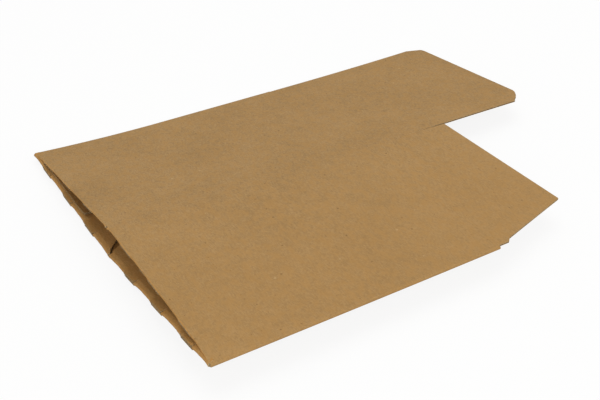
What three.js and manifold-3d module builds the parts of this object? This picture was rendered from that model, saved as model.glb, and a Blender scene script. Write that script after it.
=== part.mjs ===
// A die-cut corrugated carton with a ready-glued folding bottom and a tuck-in lid, lying
// folded flat and sprung a little open. Millimetres, Z up. X runs from the bottom of the
// carton to the lid, Y from the front fold to the back fold, and the table is at Z = 0.
//
// The four panels are one folded sheet. The lid panel and the front panel are on top and
// meet at the ridge. The rear panel lies on the table under the lid panel. The facing panel
// rises from the table to the front fold. The two panels of a fold are almost closed.

import * as THREE from "three";
import { mergeVertices } from "three/addons/utils/BufferGeometryUtils.js";
import Module from "manifold-3d";

// Driving sizes of the sheet
const BOARD = 1.6; // thickness of the fine-fluted board
const LID_PANEL = 178.5; // width inside, of the lid panel and the panel facing it
const SIDE_PANEL = 178; // width inside, of the two panels with dust flaps
const HEIGHT = 254; // bottom crease to lid crease
const LID_DEPTH = 179; // lid crease to tuck crease
const TUCK_LENGTH = 19;
const TUCK_CORNER = 14; // rounding of the tuck flap's two corners
const DUST_LENGTH = 89;
const DUST_SHOULDER = 10.5; // length of the straight shoulder beside the crease
const DUST_SET_IN = 2.7; // how far the shoulder is set in from the fold
const DUST_JOG = 3.6; // width of the step after the shoulder
const DUST_TIP = 27.3; // how far the taper has come in at the end of the flap
const MAJOR_FLAP = 120; // bottom flaps of the lid panel and the panel facing it
const MINOR_FLAP = 90; // bottom flaps of the two side panels
const GLUE_STRIP = 30; // the strip that closes the tube, glued inside the facing panel
const SEAM_WIDE = 0.8; // the seam between the facing panel and the rear panel
const SEAM_SET_IN = 0.2;
const SEAM_DEEP = 1.2;

// How far the tube has sprung open
const RISE_BOTTOM = 21.8; // height of the opening at the bottom end
const RISE_TOP = 20.6; // height of the opening at the lid end
const CORNER_LIFT = 4.5; // lift of the back corner over the thick bottom flaps
const CORNER_REACH = 130; // how far along the fold the lift reaches
const LID_CURL_BACK = 3.2; // rise of the lid's free end beside the back fold
const LID_CURL_RIDGE = -1.6; // the same at its other side, where it sags
const DUST_CURL = 0.8; // drop of the dust flap's free end

// Named clearances
const CREASE_GAP = 0.3; // between two pieces that meet at a crease
const SIDE_GAP = 0.35; // each side of a slit
const FLAP_GAP = 0.4; // between a bottom flap and the panel it is folded onto
const LID_GAP = 0.32; // between the lid and the rear dust flap under it

// Cut and crease pattern of the bottom folds
const CUT_PITCH = 50.8;
const CUT_LENGTH = 19;
const CUT_REACH = 1.8; // how far the square cut edges stand out past the panel
const CUT_FIRST = 24.5; // from the fold to the first cut
const CUT_FIRST_FRONT = 30; // the same on the front panel
const NICK = 1.3; // relief nick at the end of the ridge crease

const NOSE = BOARD + FLAP_GAP / 2; // half the height of a fold
const FOLD_REACH = 0.95; // how far a crushed fold stands out past the panel
const EDGE_INSET = 0.03; // the cut edges are this much thinner than the board, each side
const FLAP_SLOPE = 0.079; // a major flap leans away from its panel to its glued tab
const ARC_STEPS = 8;
const STATIONS = 9;

const square = (v) => v * v;

// Cross-section of the hollow at x: front fold, ridge, back fold and lower crease.
const BACK_Y = LID_PANEL + SIDE_PANEL;
function section(x) {
  const along = Math.min(Math.max(x, 0), HEIGHT);
  const left = 1 - along / HEIGHT;
  const rise = RISE_TOP + (RISE_BOTTOM - RISE_TOP) * square(left);
  const lift = CORNER_LIFT * square(Math.max(0, 1 - along / CORNER_REACH));
  const back = new THREE.Vector2(BACK_Y, BOARD + lift);
  const lowY = BACK_Y - Math.sqrt(square(SIDE_PANEL) - square(lift));
  const low = new THREE.Vector2(lowY, BOARD);
  const reach = Math.sqrt(square(LID_PANEL) - square(rise));
  const front = new THREE.Vector2(low.x - reach, low.y + rise);
  const ridge = new THREE.Vector2(back.x - reach, back.y + rise);
  return { front, ridge, back, low };
}

// A panel's own frame: s from its fold across the panel, w outwards from its inner face.
function panelFrame(from, to, side) {
  return (x, s, w) => {
    const ends = section(x);
    const across = ends[to].clone().sub(ends[from]).normalize();
    const out = new THREE.Vector2(-across.y, across.x).multiplyScalar(side);
    const p = ends[from].clone().addScaledVector(across, s).addScaledVector(out, w);
    return new THREE.Vector3(x, p.x, p.y);
  };
}
const lidPanel = panelFrame("back", "ridge", -1);
const frontPanel = panelFrame("front", "ridge", 1);
const facingPanel = panelFrame("front", "low", -1);
const rearPanel = panelFrame("back", "low", 1);

// Joining and cutting
const wasm = await Module();
wasm.setup();

function toSolid(geometry) {
  const merged = mergeVertices(geometry, 1e-4);
  const build = (indices) =>
    new wasm.Manifold(
      new wasm.Mesh({
        numProp: 3,
        vertProperties: merged.attributes.position.array,
        triVerts: new Uint32Array(indices),
      }),
    );
  const indices = Array.from(merged.index.array);
  const made = build(indices);
  if (made.volume() > 0) return made;
  return build(indices.reverse());
}

// A closed body through a row of loops, each with the same number of points.
function loft(loops) {
  const count = loops[0].length;
  const points = loops.flat();
  const faces = [];
  for (let i = 0; i + 1 < loops.length; i += 1) {
    for (let j = 0; j < count; j += 1) {
      const a = i * count + j;
      const b = i * count + ((j + 1) % count);
      faces.push(a, b, b + count, a, b + count, a + count);
    }
  }
  const cap = capOf(loops[0]);
  const last = (loops.length - 1) * count;
  for (const [a, b, c] of cap) {
    faces.push(c, b, a);
    faces.push(last + a, last + b, last + c);
  }
  const geometry = new THREE.BufferGeometry().setFromPoints(points);
  geometry.setIndex(faces);
  return toSolid(geometry);
}

// Triangles of a flat loop, found in the plane where the loop is widest.
function capOf(loop) {
  const size = new THREE.Box3().setFromPoints(loop).getSize(new THREE.Vector3());
  const drop = size.x < 1e-6 ? "x" : "y";
  const flat = loop.map((p) =>
    drop === "x" ? new THREE.Vector2(p.y, p.z) : new THREE.Vector2(p.x, p.z),
  );
  const clockwise = THREE.ShapeUtils.isClockWise(flat);
  return THREE.ShapeUtils.triangulateShape(flat, []).map(([a, b, c]) => {
    const same = THREE.ShapeUtils.isClockWise([flat[a], flat[b], flat[c]]) === clockwise;
    return same ? [a, b, c] : [a, c, b];
  });
}

const lerpAt = (line, x) => {
  const k = Math.max(1, line.findIndex(([px]) => px >= x));
  const [x0, s0] = line[k - 1];
  const [x1, s1] = line[k];
  return s0 + ((s1 - s0) * (x - x0)) / (x1 - x0);
};

// A flat piece of board: near and far are its two side edges as lines of [x, s].
// under and over give its two faces as heights w at x and s.
function sheet(frame, near, far, under, over) {
  const start = near[0][0];
  const end = near[near.length - 1][0];
  const own = [...near, ...far].map(([x]) => x);
  const even = Array.from({ length: STATIONS + 1 }, (_, i) => (HEIGHT * i) / STATIONS);
  const stations = [...new Set([...own, ...even].map((x) => Number(x.toFixed(4))))]
    .filter((x) => x >= start - 1e-6 && x <= end + 1e-6)
    .sort((a, b) => a - b);
  return loft(
    stations.map((x) => {
      const s0 = lerpAt(near, x);
      const s1 = lerpAt(far, x);
      return [
        frame(x, s0, under(x, s0)),
        frame(x, s1, under(x, s1)),
        frame(x, s1, over(x, s1)),
        frame(x, s0, over(x, s0)),
      ];
    }),
  );
}

// A block in a panel's frame, for cutting.
function block(frame, x0, x1, s0, s1, w0, w1) {
  const loop = (s) => [
    frame(x0, s, w0),
    frame(x1, s, w0),
    frame(x1, s, w1),
    frame(x0, s, w1),
  ];
  return loft([loop(s0), loop(s1)]);
}

// The crushed fold where a panel's bottom flap turns in.
function foldNose(frame, s0, s1) {
  const middle = -FLAP_GAP / 2;
  const loop = (s) => {
    const arc = Array.from({ length: ARC_STEPS + 1 }, (_, i) => {
      const turn = Math.PI / 2 + (Math.PI * i) / ARC_STEPS;
      return frame(FOLD_REACH * Math.cos(turn), s, middle + NOSE * Math.sin(turn));
    });
    return [...arc, frame(BOARD, s, middle - NOSE), frame(BOARD, s, middle + NOSE)];
  };
  const inside = block(
    frame,
    0,
    BOARD * 2,
    s0 - 1,
    s1 + 1,
    -FLAP_GAP,
    0,
  );
  return loft([loop(s0), loop(s1)]).subtract(inside);
}

// The tube of four panels, rounded at the two folds.
function tube() {
  const rounded = (centre, from, to) => {
    let turn = to - from;
    while (turn > 0) turn -= 2 * Math.PI;
    while (turn < -2 * Math.PI) turn += 2 * Math.PI;
    return Array.from({ length: ARC_STEPS + 1 }, (_, i) => {
      const angle = from + (turn * i) / ARC_STEPS;
      return [centre.x + BOARD * Math.cos(angle), centre.y + BOARD * Math.sin(angle)];
    });
  };
  const outward = (frame, x) => {
    const a = frame(x, 0, 0);
    const b = frame(x, 0, 1);
    return Math.atan2(b.z - a.z, b.y - a.y);
  };
  const mitre = (frame, x, length) => {
    const half = Math.tan(Math.asin(RISE_TOP / LID_PANEL) / 2) * BOARD;
    const p = frame(x, length + half, BOARD);
    return [p.y, p.z];
  };
  const outer = (x) => {
    const ends = section(x);
    return [
      ...rounded(ends.back, outward(lidPanel, x), outward(rearPanel, x)),
      mitre(rearPanel, x, SIDE_PANEL),
      ...rounded(ends.front, outward(facingPanel, x), outward(frontPanel, x)),
      mitre(frontPanel, x, SIDE_PANEL),
    ].map(([y, z]) => new THREE.Vector3(x, y, z));
  };
  const inner = (x, at) => {
    const ends = section(x);
    return [ends.back, ends.low, ends.front, ends.ridge].map(
      (p) => new THREE.Vector3(at, p.x, p.y),
    );
  };
  const xs = Array.from({ length: STATIONS + 1 }, (_, i) => (HEIGHT * i) / STATIONS);
  const hollow = xs.map((x) => inner(x, x));
  hollow.unshift(inner(0, -5));
  hollow.push(inner(HEIGHT, HEIGHT + 5));
  return loft(xs.map(outer)).subtract(loft(hollow));
}

// Side edges of the flaps, as lines of [x, s]
const majorNear = [
  [0, 5],
  [4, 5],
  [MAJOR_FLAP, MAJOR_FLAP + 1],
];
const majorFar = [
  [0, LID_PANEL - 1],
  [MAJOR_FLAP, LID_PANEL - 9],
];
const minorNear = [
  [0, 6],
  [MINOR_FLAP, 20],
];
const minorFar = [
  [0, SIDE_PANEL - 1],
  [13, SIDE_PANEL - 13],
  [MINOR_FLAP, SIDE_PANEL - 42],
];
const tabNear = [
  [1.2, 20],
  [18, 20],
  [MAJOR_FLAP - 2, MAJOR_FLAP],
];
const tabFar = [
  [1.2, MAJOR_FLAP + 1],
  [MAJOR_FLAP - 2, MAJOR_FLAP + 1],
];

const flat = (w) => () => w;

// The ready-glued bottom. Every bottom flap is folded in by half a turn. Each major flap
// ends in a tab, folded back at a slant and glued to the minor flap across the fold.
function bottomFlaps() {
  const made = [];
  for (const major of [lidPanel, facingPanel]) {
    const upper = (x) => -FLAP_GAP - FLAP_SLOPE * x;
    const lower = (x) => -FLAP_GAP - BOARD - FLAP_SLOPE * x;
    made.push(sheet(major, majorNear, majorFar, lower, upper));
    made.push(foldNose(major, 5, LID_PANEL - 1));
  }
  for (const minor of [rearPanel, frontPanel]) {
    const flapFace = -FLAP_GAP - BOARD;
    made.push(sheet(minor, minorNear, minorFar, flat(flapFace), flat(-FLAP_GAP)));
    made.push(sheet(minor, tabNear, tabFar, flat(flapFace - BOARD), flat(flapFace + 0.05)));
    made.push(foldNose(minor, 6, SIDE_PANEL - 1));
  }
  return made;
}

// Where each bottom fold is cut through: its frame and the start of each cut.
function cutStarts() {
  const made = [];
  const row = (frame, width, first) => {
    for (let s = first; s + CUT_LENGTH < width - 6; s += CUT_PITCH) made.push([frame, s]);
  };
  row(lidPanel, LID_PANEL, CUT_FIRST);
  row(facingPanel, LID_PANEL, CUT_FIRST);
  row(rearPanel, SIDE_PANEL, CUT_FIRST);
  row(frontPanel, SIDE_PANEL, CUT_FIRST_FRONT);
  return made;
}

// At a cut the board isn't crushed, so the square edges of panel and flap stand out.
function cutEdges() {
  return cutStarts().flatMap(([frame, s]) => {
    const ply = (low) => {
      const under = low + EDGE_INSET;
      const over = low + BOARD - EDGE_INSET;
      return block(frame, -CUT_REACH, 0.5, s, s + CUT_LENGTH, under, over);
    };
    return [ply(0), ply(-FLAP_GAP - BOARD)];
  });
}

// The open slits between those edges, and the nick at each end of the ridge crease.
function bottomCuts() {
  const deep = NOSE * 2;
  const ease = EDGE_INSET * 2;
  const slit = ([frame, s]) =>
    block(frame, -deep, 0.1, s - ease, s + CUT_LENGTH + ease, -FLAP_GAP - ease, ease);
  const nick = (frame, s) => block(frame, -deep, NICK, s - NICK, s + NICK, -1, deep);
  return [
    ...cutStarts().map(slit),
    nick(lidPanel, LID_PANEL),
    nick(facingPanel, LID_PANEL),
  ];
}

// A dust flap's two side edges. The straight one is beside the lid.
const dustStraight = (start) => [
  [start, SIDE_GAP],
  [HEIGHT + DUST_LENGTH - 2, SIDE_GAP],
  [HEIGHT + DUST_LENGTH, SIDE_GAP + 2.2],
];
const dustTapered = (start) => [
  [start, DUST_SET_IN],
  [HEIGHT + DUST_SHOULDER, DUST_SET_IN],
  [HEIGHT + DUST_SHOULDER + 4, DUST_SET_IN + DUST_JOG],
  [HEIGHT + DUST_LENGTH - 1.5, DUST_TIP],
  [HEIGHT + DUST_LENGTH, DUST_TIP + 1.2],
];
const fromOtherSide = (line, width) => line.map(([x, s]) => [x, width - s]);

function rearDustFlap() {
  const start = HEIGHT - 0.5;
  const far = fromOtherSide(dustTapered(start), SIDE_PANEL);
  return sheet(rearPanel, dustStraight(start), far, flat(0), flat(BOARD));
}

function frontDustFlap() {
  const start = HEIGHT + CREASE_GAP;
  const far = fromOtherSide(dustStraight(start), SIDE_PANEL);
  const sag = (x) => -DUST_CURL * square((x - start) / DUST_LENGTH);
  return sheet(frontPanel, dustTapered(start), far, sag, (x) => BOARD + sag(x));
}

function glueStrip() {
  const near = [
    [24, LID_PANEL - GLUE_STRIP],
    [HEIGHT - 4, LID_PANEL - GLUE_STRIP],
  ];
  const far = [
    [24, LID_PANEL + 1],
    [HEIGHT - 4, LID_PANEL + 1],
  ];
  return sheet(facingPanel, near, far, flat(-BOARD), flat(0.05));
}

// The open seam outside, where the facing panel's cut edge meets the rear panel.
function seam() {
  const near = [
    [-NOSE * 2, LID_PANEL - SEAM_WIDE - SEAM_SET_IN],
    [HEIGHT + 1, LID_PANEL - SEAM_WIDE - SEAM_SET_IN],
  ];
  const far = near.map(([x]) => [x, LID_PANEL - SEAM_SET_IN]);
  return sheet(facingPanel, near, far, flat(BOARD - SEAM_DEEP), flat(BOARD * 2));
}

function cartonBody() {
  const added = [tube(), ...bottomFlaps(), ...cutEdges(), rearDustFlap(), glueStrip()];
  const cut = [...bottomCuts(), seam()];
  return wasm.Manifold.union(added).subtract(wasm.Manifold.union(cut));
}

// The lid's two faces. It twists a little along its length.
function lidUnder(x, s) {
  const along = square((x - HEIGHT) / (LID_DEPTH + TUCK_LENGTH));
  const curl = LID_CURL_BACK + ((LID_CURL_RIDGE - LID_CURL_BACK) * s) / LID_PANEL;
  return LID_GAP + curl * along;
}
const lidOver = (x, s) => lidUnder(x, s) + BOARD;
const curlStations = (x0, x1, s) => [0, 0.25, 0.5, 0.75, 1].map((k) => [x0 + (x1 - x0) * k, s]);

function lid() {
  const x0 = HEIGHT + CREASE_GAP;
  const x1 = HEIGHT + LID_DEPTH - CREASE_GAP / 2;
  const near = curlStations(x0, x1, SIDE_GAP);
  const far = curlStations(x0, x1, LID_PANEL - SIDE_GAP);
  return sheet(lidPanel, near, far, lidUnder, lidOver);
}

function tuckFlap() {
  const start = HEIGHT + LID_DEPTH + CREASE_GAP / 2;
  const end = HEIGHT + LID_DEPTH + TUCK_LENGTH;
  const near = [[start, SIDE_GAP + 0.6]];
  for (let i = 0; i <= ARC_STEPS; i += 1) {
    const turn = (Math.PI / 2) * (i / ARC_STEPS) * 0.93;
    near.push([
      end - TUCK_CORNER + TUCK_CORNER * Math.sin(turn),
      SIDE_GAP + 0.6 + TUCK_CORNER * (1 - Math.cos(turn)),
    ]);
  }
  const far = fromOtherSide(near, LID_PANEL);
  return sheet(lidPanel, near, far, lidUnder, lidOver);
}

// Three.js meshes
const KRAFT = new THREE.Color(0xa28256);
function meshOf(name, solid, shade) {
  const mesh = solid.getMesh();
  const geometry = new THREE.BufferGeometry();
  geometry.setAttribute("position", new THREE.BufferAttribute(mesh.vertProperties, 3));
  geometry.setIndex(new THREE.BufferAttribute(mesh.triVerts, 1));
  const material = new THREE.MeshStandardMaterial({
    color: KRAFT.clone().multiplyScalar(shade),
    roughness: 0.86,
    metalness: 0,
    flatShading: true,
  });
  const made = new THREE.Mesh(geometry, material);
  made.name = name;
  return made;
}

const carton = new THREE.Group();
carton.name = "folded_carton";
carton.add(meshOf("carton_body", cartonBody(), 1));
carton.add(meshOf("lid", lid(), 1.01));
carton.add(meshOf("tuck_flap", tuckFlap(), 1.01));
carton.add(meshOf("front_dust_flap", frontDustFlap(), 0.99));

// The origin is under the middle of the carton, on the table.
const bounds = new THREE.Box3().setFromObject(carton, true);
const middle = bounds.getCenter(new THREE.Vector3());
carton.position.set(-middle.x, -middle.y, -bounds.min.z);
carton.updateMatrixWorld(true);

export default carton;
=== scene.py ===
"""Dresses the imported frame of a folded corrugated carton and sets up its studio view.

The carton lies folded flat and sprung a little open. Every board piece is built as real
fine-fluted board: an outer liner, an inner liner and the fluted medium between them.
Sizes are in millimetres until a mesh is made, and X runs from the carton's bottom fold to
its lid, Y from the front fold to the back fold and Z up from the table.
"""

from __future__ import annotations

import logging
import math
from dataclasses import dataclass, field
from enum import Enum
from typing import Callable, ClassVar, Sequence

import bmesh
import bpy
import numpy as np
from bpy.types import Material, NodeSocket, NodeTree, Object, World
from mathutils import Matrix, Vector


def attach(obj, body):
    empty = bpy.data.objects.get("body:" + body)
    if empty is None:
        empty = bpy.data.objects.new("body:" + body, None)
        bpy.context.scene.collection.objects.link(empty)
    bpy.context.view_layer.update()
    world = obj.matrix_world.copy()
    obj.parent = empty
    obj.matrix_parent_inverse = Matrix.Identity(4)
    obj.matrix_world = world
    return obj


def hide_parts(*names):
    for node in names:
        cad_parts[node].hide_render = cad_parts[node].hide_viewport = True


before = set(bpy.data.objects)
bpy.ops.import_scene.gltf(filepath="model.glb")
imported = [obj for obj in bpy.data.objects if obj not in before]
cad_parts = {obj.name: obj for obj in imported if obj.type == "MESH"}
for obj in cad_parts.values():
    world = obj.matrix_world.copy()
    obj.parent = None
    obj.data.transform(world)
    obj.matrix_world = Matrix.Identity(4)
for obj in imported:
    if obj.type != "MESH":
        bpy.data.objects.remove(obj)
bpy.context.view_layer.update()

log = logging.getLogger("carton")

MM = 0.001
LINER_STEP = 7.0
MEDIUM_STEP = 28.0
RIDGE_FLARE = 0.17
WELD = 0.004
SHARP_DEGREES = 32
Array = np.ndarray
Place = Callable[[Array, Array, Array], Array]
Height = Callable[[Array, Array], Array]
Line = Sequence[tuple[float, float]]
Materials = Sequence[Material]


class Skin(Enum):
    """The finishes a board piece shows, in the order of its material slots."""

    OUTSIDE = 0
    INSIDE = 1
    FLUTES = 2
    CUT = 3


class Panel(Enum):
    """The four panels of the tube, each named by where it lies."""

    LID = "lid"
    FRONT = "front"
    FACING = "facing"
    REAR = "rear"

    @property
    def is_major(self) -> bool:
        """Whether the panel holds a major bottom flap."""
        return self in (Panel.LID, Panel.FACING)

    @property
    def is_top(self) -> bool:
        """Whether the panel is one of the two on top."""
        return self in (Panel.LID, Panel.FRONT)


# Shape of the folded sheet


@dataclass(frozen=True)
class Board:
    """Fine-fluted board and its layers, in millimetres.

    Steps is how many points draw one wave of the medium, slack its gap to the liners and
    thinned the share of its thickness that is left where it is pressed steep.
    """

    thickness: float = 1.6
    liner: float = 0.24
    medium: float = 0.17
    pitch: float = 3.3
    slack: float = 0.01
    thinned: float = 0.9
    steps: int = 8


@dataclass(frozen=True)
class CutPattern:
    """The cut and crease pattern of a bottom fold, in millimetres from the side fold."""

    pitch: float = 50.8
    cut: float = 19.0
    first: float = 24.5
    first_front: float = 30.0
    least_crease: float = 5.0

    def spans(self, panel: Panel, start: float, stop: float) -> list[tuple[float, float, bool]]:
        """Stretches along a bottom fold.

        Args:
            panel: the panel.
            start: where the fold begins.
            stop: where it ends.

        Returns:
            Start, stop and whether the stretch is cut through.
        """
        at = self.first_front if panel is Panel.FRONT else self.first
        made: list[tuple[float, float, bool]] = []
        here = start
        while at + self.cut < stop - self.least_crease:
            made += [(here, at, False), (at, at + self.cut, True)]
            here = at + self.cut
            at += self.pitch
        made.append((here, stop, False))
        return made


@dataclass(frozen=True)
class Tube:
    """The folded tube's sizes, the same as the frame's, in millimetres.

    Bow is how far the front panel bulges near the bottom, creep how far the top layer has
    slid back there, and origin moves the sheet's own corner to its place in the frame.
    Wave and twist are the height of the board's two slow waves, ripple that of its bottom
    edge, and fade_length how far from the lid's crease the waves die out.
    """

    board: Board = Board()
    lid_panel: float = 178.5
    side_panel: float = 178.0
    height: float = 254.0
    rise_bottom: float = 21.8
    rise_top: float = 20.6
    corner_lift: float = 4.5
    corner_reach: float = 130.0
    flap_gap: float = 0.4
    bow: float = 1.6
    bow_length: float = 95.0
    creep: float = 1.2
    creep_start: float = 20.0
    wave: float = 0.34
    wave_length: float = 210.0
    twist: float = 0.16
    twist_long: float = 96.0
    twist_wide: float = 150.0
    ripple: float = 0.25
    ripple_length: float = 16.0
    fade_length: float = 60.0
    origin: tuple[float, float, float] = (-224.802545, -178.846728, 0.001803)

    def width(self, panel: Panel) -> float:
        """Width of a panel from its fold to its crease."""
        return self.lid_panel if panel.is_major else self.side_panel

    def corners(self, x: Array) -> dict[str, Array]:
        """Corners of the hollow's cross-section.

        Args:
            x: stations along the tube.

        Returns:
            The Y and Z of the front fold, ridge, back fold and lower crease.
        """
        along = np.clip(x, 0.0, self.height)
        left = 1.0 - along / self.height
        rise = self.rise_top + (self.rise_bottom - self.rise_top) * left**2
        lift = self.corner_lift * np.maximum(0.0, 1.0 - along / self.corner_reach) ** 2
        t = self.board.thickness
        back_y = self.lid_panel + self.side_panel
        low_y = back_y - np.sqrt(self.side_panel**2 - lift**2)
        reach = np.sqrt(self.lid_panel**2 - rise**2)
        flat = np.full_like(along, t)
        full = np.full_like(along, back_y)
        return {
            "back": np.stack([full, flat + lift], -1),
            "low": np.stack([low_y, flat], -1),
            "front": np.stack([low_y - reach, flat + rise], -1),
            "ridge": np.stack([full - reach, flat + lift + rise], -1),
        }

    def place(self, panel: Panel, sway: bool = True) -> Place:
        """Gives a panel's own frame.

        Args:
            panel: the panel.
            sway: whether the board's slight waviness is added.

        Returns:
            A function from x, the distance s from the fold and the height w outwards
            from the panel's inner face, to points in millimetres.
        """
        ends = {
            Panel.LID: ("back", "ridge", -1.0),
            Panel.FRONT: ("front", "ridge", 1.0),
            Panel.FACING: ("front", "low", -1.0),
            Panel.REAR: ("back", "low", 1.0),
        }
        start, stop, side = ends[panel]

        def to_points(x: Array, s: Array, w: Array) -> Array:
            """Turns a panel's own coordinates into points.

            Args:
                x: distances from the bottom end.
                s: distances from the panel's fold.
                w: heights outwards from the panel's inner face.

            Returns:
                Points in millimetres.
            """
            x, s, w = np.broadcast_arrays(np.asarray(x, float), s, w)
            at = self.corners(x)
            across = at[stop] - at[start]
            across = across / np.linalg.norm(across, axis=-1, keepdims=True)
            out = np.stack([-across[..., 1], across[..., 0]], -1) * side
            height = w + (self.sway(panel, x, s) if sway else 0.0)
            yz = at[start] + across * s[..., None] + out * height[..., None]
            if panel.is_top:
                # The top layer has crept back a little from the bottom end.
                left = np.clip(1.0 - x / self.height, 0.0, 1.2)
                x = x + self.creep * left**2 * np.clip(s / self.creep_start, 0.0, 1.0)
            return np.concatenate([x[..., None], yz], -1)

        return to_points

    def sway(self, panel: Panel, x: Array, s: Array) -> Array:
        """How far the board bows outwards from its plane, nothing at folds and creases.

        Args:
            panel: the panel, of which the rear one is pressed flat on the table.
            x: stations along the tube.
            s: distances from the fold.

        Returns:
            Heights in millimetres.
        """
        if panel is Panel.REAR:
            return np.zeros_like(np.asarray(x, float) + s)
        belly = np.sin(np.pi * np.clip(s / self.width(panel), 0.0, 1.0))
        fade = np.clip((self.height - x) / self.fade_length, 0.0, 1.0)
        phase = {Panel.LID: 0.4, Panel.FRONT: 2.1, Panel.FACING: 4.0}[panel]
        slow = self.wave * np.sin(2 * np.pi * x / self.wave_length + phase)
        slant = x / self.twist_long + s / self.twist_wide
        slow = slow + self.twist * np.sin(2 * np.pi * slant + phase * 2)
        bow = self.bow if panel is Panel.FRONT else 0.0
        broad = np.abs(belly) ** 0.4 * bow * np.exp(-np.maximum(x, 0.0) / self.bow_length)
        # The cuts let the bottom edge ripple once for each pitch of their pattern.
        pattern = CutPattern()
        turn = 2 * np.pi * (s - pattern.first - pattern.cut / 2) / pattern.pitch
        edge = self.ripple * np.cos(turn) * np.exp(-np.maximum(x, 0.0) / self.ripple_length)
        return belly * slow * fade + broad * fade + np.minimum(belly * 3, 1.0) * edge


# Making meshes


def linked(name: str, data: bpy.types.ID) -> Object:
    """Makes an object from its data and links it to the scene.

    Args:
        name: the object's name.
        data: its mesh, lamp or camera.

    Returns:
        The new object.
    """
    made = bpy.data.objects.new(name, data)
    bpy.context.scene.collection.objects.link(made)
    return made


@dataclass
class Ink:
    """Gathers points and faces of one piece before its mesh is made."""

    tube: Tube
    points: list[Array] = field(default_factory=list)
    faces: list[tuple[int, ...]] = field(default_factory=list)
    skins: list[Skin] = field(default_factory=list)
    count: int = 0

    def _add(self, points: Array) -> int:
        """Adds points.

        Args:
            points: the points, in an array of any shape that ends in 3.

        Returns:
            The number of the first.
        """
        first = self.count
        flat = points.reshape(-1, 3)
        self.points.append(flat)
        self.count += len(flat)
        return first

    def _face(self, corners: Sequence[int], skin: Skin) -> None:
        """Adds one face."""
        self.faces.append(tuple(int(c) for c in corners))
        self.skins.append(skin)

    def slab(self, low: Array, high: Array, under: Skin, over: Skin) -> None:
        """Adds a closed sheet between two grids of points.

        Args:
            low: the lower grid, rows by columns by 3.
            high: the upper grid.
            under: finish of the lower face.
            over: finish of the upper face.
        """
        rows, cols = low.shape[:2]
        a = self._add(low)
        b = self._add(high)
        for i in range(rows - 1):
            for j in range(cols - 1):
                k = i * cols + j
                quad = (k, k + 1, k + cols + 1, k + cols)
                self._face([a + q for q in quad], under)
                self._face([b + q for q in reversed(quad)], over)
        rim = list(range(cols))
        rim += [i * cols + cols - 1 for i in range(1, rows)]
        rim += [(rows - 1) * cols + j for j in range(cols - 2, -1, -1)]
        rim += [i * cols for i in range(rows - 2, 0, -1)]
        for p, q in zip(rim, rim[1:] + rim[:1]):
            self._face((a + p, b + p, b + q, a + q), Skin.CUT)

    def prism(self, loops: Array, skins: Sequence[Skin], cap: Skin) -> None:
        """Adds a closed body through loops of points.

        Args:
            loops: loops by points by 3.
            skins: finish of each side, one for each point of a loop.
            cap: finish of the two ends.
        """
        many, size = loops.shape[:2]
        a = self._add(loops)
        for i in range(many - 1):
            for j in range(size):
                k, n = i * size + j, i * size + (j + 1) % size
                self._face((a + k, a + n, a + n + size, a + k + size), skins[j])
        self._face([a + j for j in reversed(range(size))], cap)
        self._face([a + (many - 1) * size + j for j in range(size)], cap)

    def piece(self, name: str, body: str, finishes: Materials) -> Object:
        """Makes the object and lets it ride on its body.

        Args:
            name: the piece's name.
            body: the frame's body that it moves with.
            finishes: one material for each skin.

        Returns:
            The new object.
        """
        points = (np.concatenate(self.points) + np.array(self.tube.origin)) * MM
        mesh = bpy.data.meshes.new(name)
        mesh.from_pydata(points.tolist(), [], self.faces)
        for finish in finishes:
            mesh.materials.append(finish)
        mesh.polygons.foreach_set("material_index", [s.value for s in self.skins])
        work = bmesh.new()
        work.from_mesh(mesh)
        bmesh.ops.remove_doubles(work, verts=work.verts, dist=WELD * MM)
        bmesh.ops.dissolve_degenerate(work, edges=work.edges, dist=WELD / 2 * MM)
        bmesh.ops.recalc_face_normals(work, faces=work.faces)
        work.to_mesh(mesh)
        work.free()
        mesh.polygons.foreach_set("use_smooth", [True] * len(mesh.polygons))
        mesh.set_sharp_from_angle(angle=math.radians(SHARP_DEGREES))
        made = linked(name, mesh)
        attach(made, body)
        return made


def stations(start: float, stop: float, step: float, *more: float) -> Array:
    """Evenly spaced stations, with some more values kept exactly.

    Args:
        start: the first station.
        stop: the last station.
        step: the widest gap.
        *more: the values to keep, where they lie between the two.

    Returns:
        The stations in rising order.
    """
    many = max(2, int(math.ceil((stop - start) / step)) + 1)
    both = np.concatenate([np.linspace(start, stop, many), [m for m in more if start < m < stop]])
    both = np.unique(np.round(both, 4))
    keep = np.concatenate([[True], np.diff(both) > 0.05])
    return both[keep]


def level(height: float) -> Height:
    """A face at one height everywhere.

    Args:
        height: its height w.

    Returns:
        The height w at x and s.
    """

    def flat(x: Array, s: Array) -> Array:
        """The same height at every point."""
        return np.zeros_like(s) + height

    return flat


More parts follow.
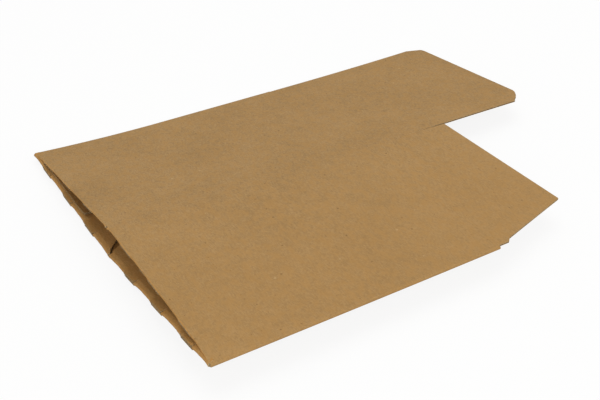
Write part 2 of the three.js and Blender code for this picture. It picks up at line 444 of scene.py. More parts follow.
@dataclass(frozen=True)
class Sheet:
    """One flat piece of board in a panel's frame.

    Base gives the height w of its lower face at x and s. Outside_up says which way the
    board's outer liner faces. Flare widens the upper liner at the far side, where a sheared
    edge leans towards its neighbour.
    """

    near: Line
    far: Line
    base: Height
    outside_up: bool = True
    flare: float = 0.0

    def draw(self, ink: Ink, place: Place) -> None:
        """Adds the two liners and the fluted medium.

        Args:
            ink: the piece being made.
            place: the panel's frame.
        """
        board = ink.tube.board
        xs, near, far = self._edges(LINER_STEP)
        cols = max(3, int(np.max(far - near) / LINER_STEP) + 1)
        share = np.linspace(0.0, 1.0, cols)
        s = near[:, None] + (far - near)[:, None] * share[None, :]
        x = np.repeat(xs[:, None], cols, 1)
        low = self.base(x, s)
        top = low + board.thickness
        up, down = Skin.OUTSIDE, Skin.INSIDE
        if not self.outside_up:
            up, down = down, up
        ink.slab(place(x, s, low), place(x, s, low + board.liner), down, Skin.FLUTES)
        wide = s + self.flare * share[None, :]
        ink.slab(place(x, wide, top - board.liner), place(x, wide, top), Skin.FLUTES, up)
        self.medium(ink, place)

    def _edges(self, step: float) -> tuple[Array, Array, Array]:
        """The two side edges, at stations that keep each of their points.

        Args:
            step: the widest gap between two stations.

        Returns:
            The stations, and s at the near and the far edge there.
        """
        kinks = [x for x, _ in (*self.near, *self.far)]
        xs = stations(self.near[0][0], self.near[-1][0], step, *kinks)
        near, far = (np.interp(xs, *zip(*line)) for line in (self.near, self.far))
        return xs, near, far

    def medium(self, ink: Ink, place: Place) -> None:
        """Adds the fluted medium, whose waves run along X.

        Args:
            ink: the piece being made.
            place: the panel's frame.
        """
        board = ink.tube.board
        xs, near, far = self._edges(MEDIUM_STEP)
        step = board.pitch / board.steps
        first, last = math.floor(near.min() / step), math.ceil(far.max() / step)
        s = np.arange(first, last + 1) * step
        inset = 0.05
        grid = np.clip(s[None, :], near[:, None] + inset, far[:, None] - inset)
        x = np.repeat(xs[:, None], len(s), 1)
        centre = self.base(x, grid) + board.thickness / 2
        height = board.thickness / 2 - board.liner - board.medium / 2 - board.slack
        turn = 2 * np.pi / board.pitch
        wave = height * np.sin(turn * grid)
        # The paper keeps its thickness where the wave is steep, so it measures more upwards.
        steep = height * turn * np.cos(turn * grid)
        half = board.medium / 2 * np.sqrt(1 + steep**2) * board.thinned
        reach = height + board.medium / 2
        lower = np.maximum(centre + wave - half, centre - reach)
        upper = np.minimum(centre + wave + half, centre + reach)
        ink.slab(place(x, grid, lower), place(x, grid, upper), Skin.FLUTES, Skin.FLUTES)


# Finishes


def linear(code: str) -> tuple[float, float, float, float]:
    """Turns an sRGB hex colour into a linear one.

    Args:
        code: the colour as RRGGBB.

    Returns:
        Red, green, blue and alpha.
    """
    parts = [int(code[i : i + 2], 16) / 255 for i in (0, 2, 4)]
    made = [p / 12.92 if p <= 0.04045 else ((p + 0.055) / 1.055) ** 2.4 for p in parts]
    return (made[0], made[1], made[2], 1.0)


def add_node(
    tree: NodeTree,
    kind: str,
    inputs: dict[str | int, object],
    out: str | int = 0,
    **settings: object,
) -> NodeSocket | None:
    """Adds a node with its settings and links.

    Args:
        tree: the material's or world's node tree.
        kind: the node's type, without the ShaderNode that starts it.
        inputs: values or output sockets for its inputs.
        out: the output that is wanted.
        **settings: the node's own properties.

    Returns:
        The wanted output, or None where the node has no outputs.
    """
    made = tree.nodes.new("ShaderNode" + kind)
    for key, value in settings.items():
        setattr(made, key, value)
    for key, value in inputs.items():
        if isinstance(value, NodeSocket):
            tree.links.new(value, made.inputs[key])
        else:
            made.inputs[key].default_value = value
    return made.outputs[out] if len(made.outputs) else None


def cleared(holder: Material | World) -> NodeTree:
    """Empties the node tree of a material or world.

    Args:
        holder: the material or world.

    Returns:
        The empty tree.
    """
    holder.use_nodes = True
    holder.node_tree.nodes.clear()
    return holder.node_tree


def summed(tree: NodeTree, parts: Sequence[tuple[NodeSocket, float]]) -> NodeSocket:
    """Adds up values, each times its share.

    Args:
        tree: the material's node tree.
        parts: each value with its share.

    Returns:
        The sum.
    """
    total: NodeSocket | float = 0.0
    for value, share in parts:
        total = add_node(tree, "Math", {0: value, 1: share, 2: total}, operation="MULTIPLY_ADD")
    return total


@dataclass(frozen=True)
class Mottle:
    """Unevenness in paper, with patches of a width along X and a length along Y."""

    wide_mm: float
    long_mm: float
    detail: float
    rough: float = 0.5

    def draw(self, tree: NodeTree, where: NodeSocket) -> NodeSocket:
        """Draws it.

        Args:
            tree: the material's node tree.
            where: the object's own coordinates in metres.

        Returns:
            A value from about 0 to 1.
        """
        wide, long = (1 / (size * MM) for size in (self.wide_mm, self.long_mm))
        mapped = add_node(tree, "Mapping", {"Vector": where, "Scale": (wide, long, wide)})
        noise = {"Vector": mapped, "Scale": 1.0, "Detail": self.detail, "Roughness": self.rough}
        return add_node(tree, "TexNoise", noise)


@dataclass(frozen=True)
class Specks:
    """Bits of bark or pale fibre, one in some of the cells of a scattered grid.

    Share is the share of cells that hold a speck, and shift moves the grid, in cells, so
    that two kinds of speck don't meet. Least is what is added to every speck's size, as a
    share of it, and fray how far the fibres eat into the speck.
    """

    colour: str
    cell_mm: float
    size_mm: float
    share: float
    strength: float
    shift: float
    least: float = 0.35
    fray: float = 0.7

    def draw(self, tree: NodeTree, where: NodeSocket, fibre: NodeSocket, below: NodeSocket) -> NodeSocket:
        """Draws the specks over a colour.

        Args:
            tree: the material's node tree.
            where: the object's own coordinates in metres.
            fibre: the fibres' unevenness, which frays the specks.
            below: the colour below.

        Returns:
            The new colour.
        """
        size = self.size_mm / self.cell_mm
        scale = (1 / (self.cell_mm * MM),) * 3
        mapped = add_node(
            tree, "Mapping", {"Vector": where, "Scale": scale, "Location": (self.shift,) * 3}
        )
        distance = add_node(
            tree, "TexVoronoi", {"Vector": mapped, "Scale": 1.0}, voronoi_dimensions="2D"
        )
        chance = add_node(tree, "SeparateColor", {0: distance.node.outputs["Color"]})
        held = add_node(tree, "Math", {0: chance, 1: self.share}, operation="LESS_THAN")
        sizes = {0: chance.node.outputs[1], 1: size, 2: self.least * size}
        reach = add_node(tree, "Math", sizes, operation="MULTIPLY_ADD")
        edge = {0: fibre, 1: self.fray * size, 2: distance}
        frayed = add_node(tree, "Math", edge, operation="MULTIPLY_ADD")
        near = add_node(tree, "Math", {0: frayed, 1: reach}, operation="LESS_THAN")
        shown = add_node(tree, "Math", {0: near, 1: held}, operation="MULTIPLY")
        amount = add_node(tree, "Math", {0: shown, 1: self.strength}, operation="MULTIPLY")
        mix = {0: amount, 6: below, 7: linear(self.colour)}
        return add_node(tree, "Mix", mix, out=2, data_type="RGBA")


@dataclass(frozen=True)
class KraftLiner:
    """Unbleached kraft paper, made on a wire and left uncoated.

    The wire leaves fibres lying across the flutes, soft clouding where the pulp was thicker,
    and a few dark specks of bark. The eye sees a warm matt brown with a fine grain. Single
    fibres, some 0.04 mm wide, are too fine to show, so they are drawn as flocks 0.8 mm wide.
    """

    name: str
    light: str
    mean: str
    dark: str
    warm: str = "A77F49"
    bark: str = "5E4326"
    pale: str = "C9AC7E"
    fibre: Mottle = Mottle(0.8, 3.4, 3.0, 0.65)
    cross: Mottle = Mottle(2.38, 0.8, 2.0, 0.6)
    cloud: Mottle = Mottle(11.0, 14.3, 3.0, 0.6)
    drift: Mottle = Mottle(85.0, 68.0, 1.0, 0.5)
    blot: Mottle = Mottle(4.5, 6.3, 2.0, 0.6)
    contrast: float = 0.078
    roughness: float = 0.9
    washboard: float = 0.05

    def specks(self) -> tuple[Specks, ...]:
        """The bark specks, the finer ones among them and the pale flecks.

        Returns:
            The three kinds.
        """
        return (
            Specks(self.bark, 17.0, 0.9, 0.27, 0.45, 0.0),
            Specks(self.bark, 7.14, 0.62, 0.2, 0.3, 7.3),
            Specks(self.pale, 28.9, 1.1, 0.22, 0.3, 3.1),
        )

    def material(self) -> Material:
        """Builds the material.

        Returns:
            The new material.
        """
        made = bpy.data.materials.new(self.name)
        tree = cleared(made)
        where = add_node(tree, "TexCoord", {}, out="Object")
        fibre, cross, cloud, drift, blot = (
            mottle.draw(tree, where)
            for mottle in (self.fibre, self.cross, self.cloud, self.drift, self.blot)
        )
        across = add_node(tree, "SeparateXYZ", {0: where}, out="Y")
        grain = summed(tree, [(fibre, 0.62), (cross, 0.38)])
        tone = summed(tree, [(grain, 0.76), (cloud, 0.13), (drift, 0.11)])
        colour: NodeSocket | tuple[float, ...] = linear(self.dark)
        # The last two are a warmer pulp, in blots and towards the front of the carton.
        for value, low, high, most, shade in (
            (tone, 0.5 - self.contrast, 0.5, 1.0, self.mean),
            (tone, 0.5, 0.5 + self.contrast, 1.0, self.light),
            (blot, 0.4, 0.64, 0.55, self.warm),
            (across, 0.03, -0.12, 0.3, self.warm),
        ):
            limits = {"Value": value, "From Min": low, "From Max": high, "To Max": most}
            amount = add_node(tree, "MapRange", limits)
            mix = {0: amount, 6: colour, 7: linear(shade)}
            colour = add_node(tree, "Mix", mix, out=2, data_type="RGBA")
        for specks in self.specks():
            colour = specks.draw(tree, where, fibre, colour)
        # The liner sinks a little between the flutes, which catches a raking light.
        turn = 2 * math.pi / (Board().pitch * MM)
        turned = add_node(tree, "Math", {0: across, 1: turn}, operation="MULTIPLY")
        waves = add_node(tree, "Math", {0: turned}, operation="SINE")
        height = summed(tree, [(grain, 0.5), (waves, self.washboard), (cloud, 0.6)])
        bump = add_node(tree, "Bump", {"Height": height, "Strength": 0.32, "Distance": 0.25 * MM})
        range_to = {"To Min": self.roughness - 0.08, "To Max": self.roughness + 0.05}
        look = {
            "Base Color": colour,
            "Normal": bump,
            "Roughness": add_node(tree, "MapRange", {"Value": grain, **range_to}),
            "Specular IOR Level": 0.22,
            "IOR": 1.5,
        }
        shader = add_node(tree, "BsdfPrincipled", look)
        add_node(tree, "OutputMaterial", {"Surface": shader})
        return made


@dataclass(frozen=True)
class CutPaper:
    """Raw kraft paper that no wire or press has closed, matt and open.

    Sheared by the die's steel rule it shows a line with fine dark breaks, drawn paler than the paper
    partly as painted light on edges that the lamps barely reach. Pressed into flutes it is a duller
    brown, from recycled pulp.
    """

    name: str
    light: str
    dark: str
    grain_mm: float
    roughness: float = 0.95

    def material(self) -> Material:
        """Builds the material.

        Returns:
            The new material.
        """
        made = bpy.data.materials.new(self.name)
        tree = cleared(made)
        where = add_node(tree, "TexCoord", {}, out="Object")
        grain = Mottle(self.grain_mm, self.grain_mm, 4.0).draw(tree, where)
        share = add_node(tree, "MapRange", {"Value": grain, "From Min": 0.36, "From Max": 0.64})
        mix = {0: share, 6: linear(self.dark), 7: linear(self.light)}
        look = {
            "Base Color": add_node(tree, "Mix", mix, out=2, data_type="RGBA"),
            "Normal": add_node(tree, "Bump", {"Height": grain, "Strength": 0.4, "Distance": 0.1 * MM}),
            "Roughness": self.roughness,
            "Specular IOR Level": 0.15,
        }
        shader = add_node(tree, "BsdfPrincipled", look)
        add_node(tree, "OutputMaterial", {"Surface": shader})
        return made


def board_finishes() -> list[Material]:
    """The materials of a board piece.

    Returns:
        One material for each skin, in the order of Skin.
    """
    outside = KraftLiner("kraft_liner_outside", light="A98759", mean="9C7D52", dark="8F7148")
    # The inner liner holds more recycled pulp and is a little darker and redder.
    inside = KraftLiner(
        "kraft_liner_inside",
        light="A07A48",
        mean="946F3F",
        dark="866335",
        warm="986D36",
        bark="57401F",
    )
    flutes = CutPaper("recycled_fluting_pressed", light="B08D5E", dark="8B6B3F", grain_mm=1.1)
    # The die-cut edge is drawn paler partly as painted light on edges that face away from the lamps.
    cut = CutPaper("kraft_liner_die_cut_edge_painted_light", light="C4AC84", dark="A08660", grain_mm=0.5)
    return [outside.material(), inside.material(), flutes.material(), cut.material()]


def flap_finishes(board: Materials) -> list[Material]:
    """The materials of a bottom flap, whose turned-in outer liner is drawn warmer and more saturated as
    painted shade and bounce light inside the opening.

    Args:
        board: the finishes of the rest of the board.

    Returns:
        One material for each skin.
    """
    # These warmer, more saturated browns are painted shade and bounce light from inside the opening, not
    # a different paper.
    turned_in_painted_shade = KraftLiner(
        "kraft_liner_turned_in", light="B68E58", mean="AC834C", dark="9E7743", warm="AC7C40"
    )
    return [turned_in_painted_shade.material(), *list(board)[1:]]


# Sub-assemblies


@dataclass
class FoldedTube:
    """The four panels, wrapped round the hollow as one sheet."""

    tube: Tube
    finishes: Materials
    seam: float = 1.0
    lap: float = 0.1
    crease_half: float = 1.3
    crease_deep: float = 0.14
    first_column: float = 0.8
    second_column: float = 4.0
    medium_in: float = 1.6
    medium_ridge: float = 1.2
    folds: ClassVar[dict[Panel, tuple[str, Panel]]] = {
        Panel.REAR: ("back", Panel.LID),
        Panel.FRONT: ("front", Panel.FACING),
    }
    arc_steps: int = 10

    def columns(self, panel: Panel, back: bool) -> Array:
        """Distances s across a panel for its columns.

        Args:
            panel: the panel.
            back: whether the sheet runs back across it, so that they are counted down.

        Returns:
            The distances.
        """
        width = self.tube.width(panel)
        stop = width - self.crease_half
        many = int(stop / LINER_STEP)
        s = np.concatenate([[self.first_column], np.linspace(self.second_column, stop, many)])
        return s[::-1] if back else s

    def wrap(self, x: Array, height: float, inner: bool) -> Array:
        """Points of one surface of the sheet, from the seam all the way round to it.

        Args:
            x: stations along the tube.
            height: height w from the panels' inner faces.
            inner: whether the surface turns sharply inside the folds.

        Returns:
            Points, stations by columns by 3.
        """
        tube = self.tube
        rows: list[Array] = []
        for panel in (Panel.REAR, Panel.LID, Panel.FRONT, Panel.FACING):
            width = tube.width(panel)
            s = self.columns(panel, back=panel in (Panel.REAR, Panel.FRONT))
            if panel is Panel.REAR:
                s = np.concatenate([[width - self.lap], s])
            if panel is Panel.FACING:
                s = np.concatenate([s[s < width - self.seam - 0.4], [width - self.seam]])
            rows.append(tube.place(panel)(x[:, None], s[None, :], np.full((1, len(s)), height)))
            if panel is Panel.LID:
                rows.append(self._crease(x, height, inner))
            elif panel is not Panel.FACING:
                rows.append(self._fold(x, panel, height, inner))
        return np.concatenate(rows, 1)

    def _out(self, panel: Panel, x: Array) -> Array:
        """Direction out of a panel at its fold.

        Args:
            panel: the panel.
            x: stations along the tube.

        Returns:
            Angles in the YZ plane.
        """
        place = self.tube.place(panel, sway=False)
        none = np.zeros_like(x)
        out = place(x, none, none + 1.0) - place(x, none, none)
        return np.arctan2(out[:, 2], out[:, 1])

    def _fold(self, x: Array, first: Panel, height: float, inner: bool) -> Array:
        """The columns round a side fold's nose.

        Args:
            x: stations along the tube.
            first: the panel before the fold.
            height: height w from the panels' inner faces.
            inner: whether the surface turns sharply inside the fold.

        Returns:
            Points, stations by columns by 3.
        """
        corner, second = self.folds[first]
        centre = self.tube.corners(x)[corner]
        start, stop = self._out(first, x), self._out(second, x)
        turn = np.mod(stop - start, 2 * math.pi)
        turn = np.where(turn > math.pi * 1.2, turn - 2 * math.pi, turn)
        share = np.array([0.5]) if inner else np.linspace(0.0, 1.0, self.arc_steps + 1)
        angle = start[:, None] + turn[:, None] * share[None, :]
        y = centre[:, None, 0] + height * np.cos(angle)
        z = centre[:, None, 1] + height * np.sin(angle)
        return np.stack([np.repeat(x[:, None], len(share), 1), y, z], -1)

    def _crease(self, x: Array, height: float, inner: bool) -> Array:
        """The column along the ridge's pressed crease.

        Args:
            x: stations along the tube.
            height: height w from the panels' inner faces.
            inner: whether the surface is an inner one, which isn't pressed in.

        Returns:
            Points, stations by one by 3.
        """
        place = self.tube.place(Panel.LID, sway=False)
        width = self.tube.width(Panel.LID)
        sink = 0.0 if inner else self.crease_deep
        s = np.full((1, 1), width + height * 0.05)
        return place(x[:, None], s, np.full((1, 1), height - sink))

    def build(self) -> Object:
        """Builds the tube.

        Returns:
            The piece.
        """
        tube, board = self.tube, self.tube.board
        ink = Ink(tube)
        x = stations(0.0, tube.height, LINER_STEP)
        under_liner = board.thickness - board.liner
        outer, outer_low = (self.wrap(x, h, inner=False) for h in (board.thickness, under_liner))
        ink.slab(outer_low, outer, Skin.FLUTES, Skin.OUTSIDE)
        inner, inner_high = (self.wrap(x, h, inner=True) for h in (0.0, board.liner))
        ink.slab(inner, inner_high, Skin.INSIDE, Skin.FLUTES)
        for panel in Panel:
            inset = self.medium_in if panel is Panel.FACING else self.medium_ridge
            stop = tube.width(panel) - inset
            near: Line = [(0.0, self.medium_in), (tube.height, self.medium_in)]
            far: Line = [(0.0, stop), (tube.height, stop)]
            Sheet(near, far, level(0.0)).medium(ink, tube.place(panel))
        for first in self.folds:
            arc = self._fold(x, first, under_liner - 0.03, inner=False)
            ink.prism(arc, [Skin.FLUTES] * arc.shape[1], Skin.FLUTES)
        return ink.piece("folded_tube", "carton", self.finishes)


@dataclass(frozen=True)
class Crush:
    """How one pair of bottom folds is pressed, in millimetres.

    Crease, panel_cut and flap_cut are how far the crushed crease and the two square cut
    edges stand out. Pinch is how far the crease's nose reaches below the panel, nick the
    open corner at the far end, and flare the share of a cut's reach that the crease takes
    beside it.
    """

    crease: float
    panel_cut: float
    flap_cut: float
    pinch: float
    nick: float
    flare: float


@dataclass
class BottomFlaps:
    """The ready-glued bottom: four flaps folded in, two of them with a glued tab.

    Major and minor are the flaps' lengths. Major_in and minor_in are how far their sides
    stand in from the side fold, and slope is the major flaps' lean away from their panels.
    The lines named past give the far sides: distances in from the bottom end and past the
    panel's side. Web_past is the lower major flap's, which keeps the web beside the crease
    and so reaches past the corner.
    """

    tube: Tube
    finishes: Materials
    pattern: CutPattern = CutPattern()
    top_fold: Crush = Crush(0.2, 1.1, -1.0, 0.2, 1.6, 0.72)
    low_fold: Crush = Crush(0.85, 1.5, 1.78, 1.9, 1.0, 0.86)
    major: float = 120.0
    minor: float = 90.0
    major_in: float = 5.0
    minor_in: float = 6.0
    minor_taper: float = 14.0
    major_past: Line = ((3.0, -1.0), (120.0, -9.0))
    minor_past: Line = ((3.0, -5.0), (13.0, -15.5), (90.0, -42.0))
    web_past: Line = ((3.0, 1.4), (13.8, 7.0), (32.0, -3.0), (120.0, -9.0))
    tab_root: float = 1.6
    tab_corner: tuple[float, float] = (18.0, 20.0)
    slope: float = 0.079
    burr: float = 0.9
    crush: float = 3.0
    spring: float = 0.5
    loose: float = 2.4
    loose_length: float = 16.0
    arc_steps: int = 8

    def gap(self, panel: Panel) -> float:
        """Gap between a panel and its flap, wider below, where the flaps have sprung open."""
        return self.tube.flap_gap + (0.0 if panel.is_top else self.spring)

    def lines(self, panel: Panel) -> tuple[Line, Line]:
        """The two side edges of a panel's bottom flap, from where the crushed fold ends.

        Args:
            panel: the panel.

        Returns:
            The near and the far edge as points (x, s).
        """
        start, side = self.crush, self.minor_in
        near: Line = [(start, side), (self.minor, side + self.minor_taper)]
        past = self.minor_past
        if panel.is_major:
            # The near side runs slantwise, where the tab is folded back.
            side = self.major_in
            near = [(start, side), (start + 1, side), (self.major, self.major + 1)]
            past = self.major_past if panel.is_top else self.web_past
        return near, [(x, self.tube.width(panel) + reach) for x, reach in past]

    def base(self, panel: Panel) -> Height:
        """The height of a flap's face that looks to its panel's inside.

        Args:
            panel: the panel.

        Returns:
            The height w at x and s.
        """
        lean = self.slope if panel.is_major else 0.0
        start = self.gap(panel) + self.tube.board.thickness

        def height(x: Array, s: Array) -> Array:
            """Lower the further in, as the flap leans away from its panel."""
            return np.zeros_like(s) - start - lean * np.maximum(x, 0.0)

        return height

    def build(self) -> list[Object]:
        """Builds the flaps.

        Returns:
            One piece for each panel.
        """
        made: list[Object] = []
        for panel in Panel:
            ink = Ink(self.tube)
            place = self.tube.place(panel)
            near, far = self.lines(panel)
            Sheet(near, far, self.base(panel), outside_up=False).draw(ink, place)
            if not panel.is_major:
                self._tab(ink, place, self.gap(panel) + 2 * self.tube.board.thickness)
            self._fold(ink, place, panel)
            made.append(ink.piece(f"bottom_flap_{panel.value}", "carton", self.finishes))
        return made

    def _tab(self, ink: Ink, place: Place, depth: float) -> None:
        """Adds the slanted tab of a major flap, glued to the minor flap.

        Args:
            ink: the piece being made.
            place: the panel's frame.
            depth: how far in from the panel it lies.
        """
        start, end = self.tab_root, self.major - 2
        corner, stop = self.tab_corner, self.major + 1
        near: Line = [(start, corner[1]), corner, (end, self.major)]
        far: Line = [(start, stop), (end, stop)]

        def base(x: Array, s: Array) -> Array:
            """Height of the tab's lower face, which has come unstuck at its end."""
            share = (s - self.major - 1) / self.loose_length + 1.0
            return -depth - self.loose * np.clip(share, 0.0, 1.0) ** 2 + np.zeros_like(x)

        Sheet(near, far, base).draw(ink, place)

    def _fold(self, ink: Ink, place: Place, panel: Panel) -> None:
        """Adds the crushed fold, broken by the cuts, whose square edges stand out past it.

        Args:
            ink: the piece being made.
            place: the panel's frame.
            panel: the panel.
        """
        fold = self.top_fold if panel.is_top else self.low_fold
        start, stop = 0.6, self.tube.width(panel) - fold.nick
        for s0, s1, cut in self.pattern.spans(panel, start, stop):
            if not cut:
                self._crease(ink, place, panel, stations(s0, s1, 3.0), stop)
                continue
            for reach, end, base, up in (
                (fold.panel_cut, 0.0, level(0.0), True),
                (fold.flap_cut, self.crush, self.base(panel), False),
            ):
                near: Line = [(-reach, s0 + 0.03), (end, s0 + 0.03)]
                far: Line = [(-reach, s1 - 0.03), (end, s1 - 0.03)]
                Sheet(near, far, base, outside_up=up).draw(ink, place)

    def _crease(self, ink: Ink, place: Place, panel: Panel, s: Array, stop: float) -> None:
        """Adds one crushed crease between two cuts.

        Args:
            ink: the piece being made.
            place: the panel's frame.
            panel: the panel.
            s: stations along the crease.
            stop: where the panel's whole fold ends.
        """
        fold = self.top_fold if panel.is_top else self.low_fold
        t, width = self.tube.board.thickness, self.tube.width(panel)
        swell = fold.crease * (1.0 + 0.14 * np.sin(s * 0.41 + 1.3) + 0.1 * np.sin(s * 0.93))
        beside = np.exp(-np.minimum(s - s[0], s[-1] - s) / 4.0)
        swell = swell + (max(fold.panel_cut, fold.flap_cut) - swell) * fold.flare * beside
        if panel.is_top:
            # The die's nick leaves a burr on each side of the ridge's end.
            swell = swell + self.burr * np.exp(-np.abs(stop - s) / 2.5)
        # A minor flap is cut back from the corner, and the fold's end with it.
        inner_end = np.full_like(s, self.crush)
        if not panel.is_major:
            inner_end = self.crush * np.clip((width - s) / 5.0, 0.15, 1.0)
        # Round the outside of the fold, then along the crushed start of the flap and back.
        turn = np.linspace(math.pi / 2, 3 * math.pi / 2, self.arc_steps + 1)
        low = float(self.base(panel)(np.array([self.crush]), np.array([0.0]))[0])
        back = np.stack([inner_end, inner_end, 0.04 * inner_end, np.zeros_like(s)], 1)
        x = np.concatenate([swell[:, None] * np.cos(turn), back], 1)
        nose = (t - fold.pinch) / 2 + (t + fold.pinch) / 2 * np.sin(turn)
        w = np.concatenate([nose, [low, low + t, -self.gap(panel) / 2, 0.0]])
        skins = [Skin.OUTSIDE] * (self.arc_steps + 1)
        skins += [Skin.CUT, Skin.INSIDE, Skin.INSIDE, Skin.CUT]
        ink.prism(place(x, s[:, None], w[None, :]), skins, Skin.CUT)


@dataclass
class GlueStrip:
    """The strip that closes the tube, glued inside the facing panel, with a slanted corner."""

    tube: Tube
    finishes: Materials
    wide: float = 30.0
    start: float = 24.0
    corner_length: float = 10.0
    corner_width: float = 6.0
    top_gap: float = 4.0

    def build(self) -> Object:
        """Builds the strip.

        Returns:
            The piece.
        """
        tube = self.tube
        ink = Ink(tube)
        side, end = tube.lid_panel - self.wide, tube.height - self.top_gap
        seam = tube.lid_panel - 0.3
        near: Line = [
            (self.start, side + self.corner_width),
            (self.start + self.corner_length, side),
            (end, side),
        ]
        far: Line = [(self.start, seam), (end, seam)]
        inside = level(-tube.board.thickness - 0.02)
        Sheet(near, far, inside, outside_up=False).draw(ink, tube.place(Panel.FACING))
        return ink.piece("glue_strip", "carton", self.finishes)


@dataclass
class DustFlap:
    """A dust flap with a straight side beside the lid and a tapered side away from it.

    The tapered side stands in by set_in up to the shoulder, steps in by jog there and ends
    at tip. Slit is how far the straight side has opened at its end, over slit_length.
    """

    tube: Tube
    finishes: Materials
    panel: Panel
    name: str
    body: str
    start: float = 0.04
    length: float = 88.2
    shoulder: float = 10.5
    shoulder_run: float = 4.0
    set_in: float = 0.6
    jog: float = 3.7
    tip: float = 25.6
    side_gap: float = 0.01
    slit: float = 1.15
    slit_length: float = 24.0
    curl: float = 0.8

    def build(self) -> Object:
        """Builds the flap.

        Returns:
            The piece.
        """
        tube = self.tube
        x0, x1 = tube.height + self.start, tube.height + self.length
        shoulder = tube.height + self.shoulder
        straight: Line = [
            (x0, self.side_gap),
            (x1 - self.slit_length, self.side_gap + 0.03),
            (x1, self.slit),
        ]
        tapered: Line = [
            (x0, self.set_in),
            (shoulder, self.set_in),
            (shoulder + self.shoulder_run, self.set_in + self.jog),
            (x1, self.tip),
        ]
        width = tube.width(self.panel)
        on_table = self.panel is Panel.REAR
        near, far = (straight, tapered) if on_table else (tapered, straight)
        far = [(x, width - s) for x, s in far]
        sag, flare = (0.0, 0.0) if on_table else (self.curl, RIDGE_FLARE)

        def base(x: Array, s: Array) -> Array:
            """Height of the flap's inner face."""
            return -sag * ((x - x0) / self.length) ** 2 + np.zeros_like(s)

        ink = Ink(tube)
        Sheet(near, far, base, flare=flare).draw(ink, tube.place(self.panel))
        return ink.piece(self.name, self.body, self.finishes)


@dataclass
class Lid:
    """The lid panel's free end and its tuck flap.

    Curl_back and curl_ridge are how far the lid's two corners have curled up or down at
    the tuck flap's end. Open_length is where the lid's side leaves the dust flap's.
    """

    tube: Tube
    finishes: Materials
    depth: float = 179.0
    tuck: float = 19.0
    side_gap: float = 0.01
    back_gap: float = 0.4
    open_length: float = 66.0
    lift: float = 0.06
    lift_length: float = 9.0
    curl_back: float = 3.2
    curl_ridge: float = -1.6
    start: float = 0.04

    def base(self, x: Array, s: Array) -> Array:
        """Height of the lid's inner face, which twists a little along its length.

        Args:
            x: distances from the bottom end.
            s: distances from the back fold.

        Returns:
            Heights in millimetres.
        """
        out = np.maximum(x - self.tube.height, 0.0)
        along = (out / (self.depth + self.tuck)) ** 2
        curl = self.curl_back + (self.curl_ridge - self.curl_back) * s / self.tube.lid_panel
        ease = np.clip(out / self.lift_length, 0.0, 1.0)
        return self.lift * ease**2 * (3 - 2 * ease) + curl * along

    def build(self) -> list[Object]:
        """Builds the lid and the tuck flap."""
        return [self._lid(), self._tuck()]

    def _lid(self) -> Object:
        """Builds the lid.

        Returns:
            The piece.
        """
        tube = self.tube
        x0, x1 = tube.height + self.start, tube.height + self.depth - self.start / 2
        ridge = tube.lid_panel - self.side_gap
        near: Line = [(x0, self.back_gap), (x1, self.back_gap + 0.6)]
        far: Line = [(x0, ridge), (x0 + self.open_length, ridge), (x1, ridge + 0.4)]
        ink = Ink(tube)
        Sheet(near, far, self.base, flare=RIDGE_FLARE).draw(ink, tube.place(Panel.LID))
        return ink.piece("lid_board", "lid_panel", self.finishes)

    def _tuck(self) -> Object:
        """Builds the tuck flap, with a cut-off back corner and a rounded front one.

        Returns:
            The piece.
        """
        tube = self.tube
        crease = tube.height + self.depth
        # Points are distances past the crease and in from the side.
        back = [(1.02, 1.6), (7.6, 4.9), (13.6, 8.1), (15.0, 9.7), (15.6, 11.9), (15.9, 14.6)]
        front = [(4.0, 4.1), (7.2, 6.6), (10.0, 9.6), (12.5, 13.2), (14.7, 16.6), (15.9, 20.4)]
        start = self.start / 2
        near: Line = [(crease + x, s) for x, s in [(start, 1.1), *back]]
        far: Line = [(crease + x, tube.lid_panel - s) for x, s in [(start, 1.7), *front]]
        ink = Ink(tube)
        Sheet(near, far, self.base).draw(ink, tube.place(Panel.LID))
        return ink.piece("tuck_board", "tuck", self.finishes)


# Studio


@dataclass(frozen=True)
class Softbox:
    """A square lamp that looks at the carton, in metres and watts."""

    name: str
    spot: tuple[float, float, float]
    size: float
    watts: float

    def hang(self) -> Object:
        """Makes the lamp.

        Returns:
            The lamp.
        """
        data = bpy.data.lights.new(self.name, "AREA")
        data.shape = "SQUARE"
        data.size = self.size
        data.energy = self.watts
        made = linked(self.name, data)
        made.location = self.spot
        made.rotation_mode = "QUATERNION"
        made.rotation_quaternion = (-Vector(self.spot)).to_track_quat("-Z", "Y")
        return made


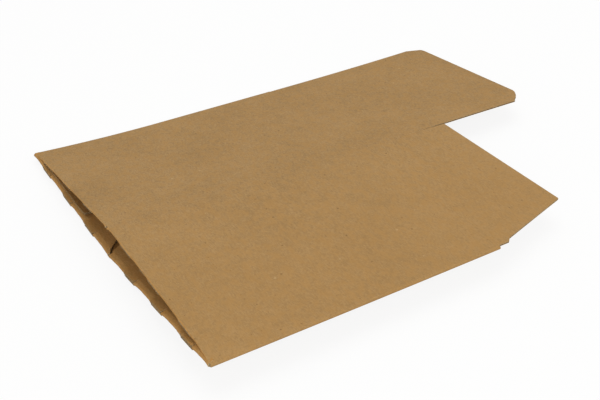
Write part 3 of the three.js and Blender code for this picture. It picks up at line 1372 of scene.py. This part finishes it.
@dataclass(frozen=True)
class Studio:
    """Pale floor, soft lamps and the camera at the photograph's place."""

    focal_px: float = 964.68
    pitch: float = 0.58612
    yaw: float = 0.55685
    place_mm: tuple[float, float, float] = (-424.56, -611.47, 470.24)
    frame_width_px: int = 600
    sensor_mm: float = 36.0
    floor_half: float = 8.0
    floor_drop: float = 0.0002
    floor_paint: str = "ECECEA"
    floor_glow: float = 0.88
    room_light: float = 0.5
    lamps: tuple[Softbox, ...] = (
        Softbox("softbox_above", (0.25, 0.55, 2.1), 1.9, 24.0),
        Softbox("softbox_front", (0.9, -1.9, 1.2), 1.3, 13.8),
        Softbox("softbox_low", (-1.5, -1.5, 0.8), 1.0, 14.0),
    )

    def build(self) -> None:
        """Sets up the floor, the light and the camera."""
        self._floor()
        self._room()
        for lamp in self.lamps:
            lamp.hang()
        self._camera()

    def _camera(self) -> None:
        """Makes the camera."""
        data = bpy.data.cameras.new("camera")
        data.sensor_width = self.sensor_mm
        data.lens = self.focal_px / self.frame_width_px * self.sensor_mm
        data.clip_start, data.clip_end = 0.02, 30.0
        made = linked("camera", data)
        level_look = Vector((math.sin(self.yaw), math.cos(self.yaw), 0.0))
        look = level_look * math.cos(self.pitch) - Vector((0, 0, math.sin(self.pitch)))
        made.location = Vector(self.place_mm) * MM
        made.rotation_mode = "QUATERNION"
        made.rotation_quaternion = look.to_track_quat("-Z", "Y")
        bpy.context.scene.camera = made

    def _floor(self) -> None:
        """Makes the pale floor, white to the camera and still holding the shadow."""
        mesh = bpy.data.meshes.new("floor")
        half, z = self.floor_half, -self.floor_drop
        corners = [(-half, -half, z), (half, -half, z), (half, half, z), (-half, half, z)]
        mesh.from_pydata(corners, [], [(0, 1, 2, 3)])
        made = linked("floor", mesh)
        paint = bpy.data.materials.new("floor_paint")
        tree = cleared(paint)
        rays = add_node(tree, "LightPath", {}).node.outputs
        seen = rays["Is Camera Ray"]
        for ray in ("Is Glossy Ray", "Is Transmission Ray"):
            seen = add_node(tree, "Math", {0: seen, 1: rays[ray]}, operation="MAXIMUM")
        share = add_node(tree, "Math", {0: seen, 1: self.floor_glow}, operation="MULTIPLY")
        body = add_node(tree, "BsdfDiffuse", {"Color": linear(self.floor_paint)})
        glow = add_node(tree, "Emission", {"Strength": 1.0})
        both = add_node(tree, "MixShader", {0: share, 1: body, 2: glow})
        add_node(tree, "OutputMaterial", {"Surface": both})
        mesh.materials.append(paint)

    def _room(self) -> None:
        """Makes the pale room, white to the camera and dimmer as a light."""
        world = bpy.data.worlds.new("room")
        bpy.context.scene.world = world
        tree = cleared(world)
        seen = add_node(tree, "LightPath", {}, out="Is Camera Ray")
        strength = add_node(tree, "MapRange", {"Value": seen, "To Min": self.room_light})
        sky = add_node(tree, "Background", {"Color": (1, 1, 1, 1), "Strength": strength})
        add_node(tree, "OutputWorld", {"Surface": sky})


def main() -> None:
    """Builds every piece in order and reports each one."""
    logging.basicConfig(level=logging.INFO, format="%(message)s")
    bpy.context.scene.view_settings.view_transform = "Standard"
    tube = Tube()
    finishes = board_finishes()
    made: list[Object] = [FoldedTube(tube, finishes).build()]
    made += BottomFlaps(tube, flap_finishes(finishes)).build()
    made.append(GlueStrip(tube, finishes).build())
    made.append(
        DustFlap(tube, finishes, Panel.REAR, "rear_dust_flap_board", "carton", start=-0.02).build()
    )
    made.append(DustFlap(tube, finishes, Panel.FRONT, "front_dust_flap_board", "dust_flap").build())
    made += Lid(tube, finishes).build()
    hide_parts("carton_body")
    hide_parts("lid")
    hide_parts("tuck_flap")
    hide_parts("front_dust_flap")
    for piece in made:
        log.info("%s: %d faces", piece.name, len(piece.data.polygons))
    Studio().build()
    log.info("size of the frame and of the dressed carton written")


if __name__ == "__main__":
    main()
